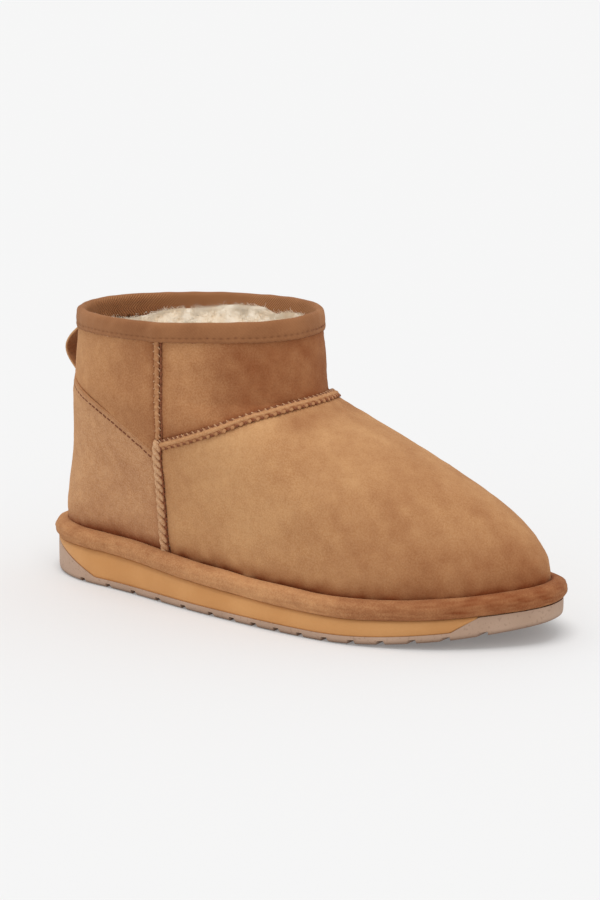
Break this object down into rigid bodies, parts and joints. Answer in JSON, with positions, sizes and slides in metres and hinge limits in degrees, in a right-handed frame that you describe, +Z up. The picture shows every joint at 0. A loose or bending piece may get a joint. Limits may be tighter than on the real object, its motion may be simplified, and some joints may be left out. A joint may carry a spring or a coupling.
{
  "type": "sheepskin boot",
  "caption": "Short slip-on boot with a wool-lined suede upper, bound collar, lapped heel counter and a flat lugged sole, worn on the right foot to keep it warm.",
  "frame": {"origin": "on the ground, below the middle of the whole boot", "axes": "+X from heel to toe, -Y towards the outer side of the right foot, +Z up"},
  "size_m": [0.2816, 0.1046, 0.1432],
  "materials": {
    "outsole_rubber": "matte moulded rubber",
    "midsole_foam": "matte foam",
    "suede": "brushed suede nap",
    "suede_trim": "brushed suede nap",
    "wool": "deep curly wool",
    "tape": "herringbone twill",
    "thread": "waxed thread"
  },
  "bodies": {
    "root": {"outsole": "outsole_rubber", "midsole": "midsole_foam", "rand": "suede_trim", "insole": "wool", "upper": "suede", "heel_counter": "suede", "vamp_seam": "suede_trim", "side_seam_lateral": "suede_trim", "side_seam_medial": "suede_trim", "collar_binding": "suede_trim", "pull_loop": "suede_trim"}
  },
  "joints": []
}
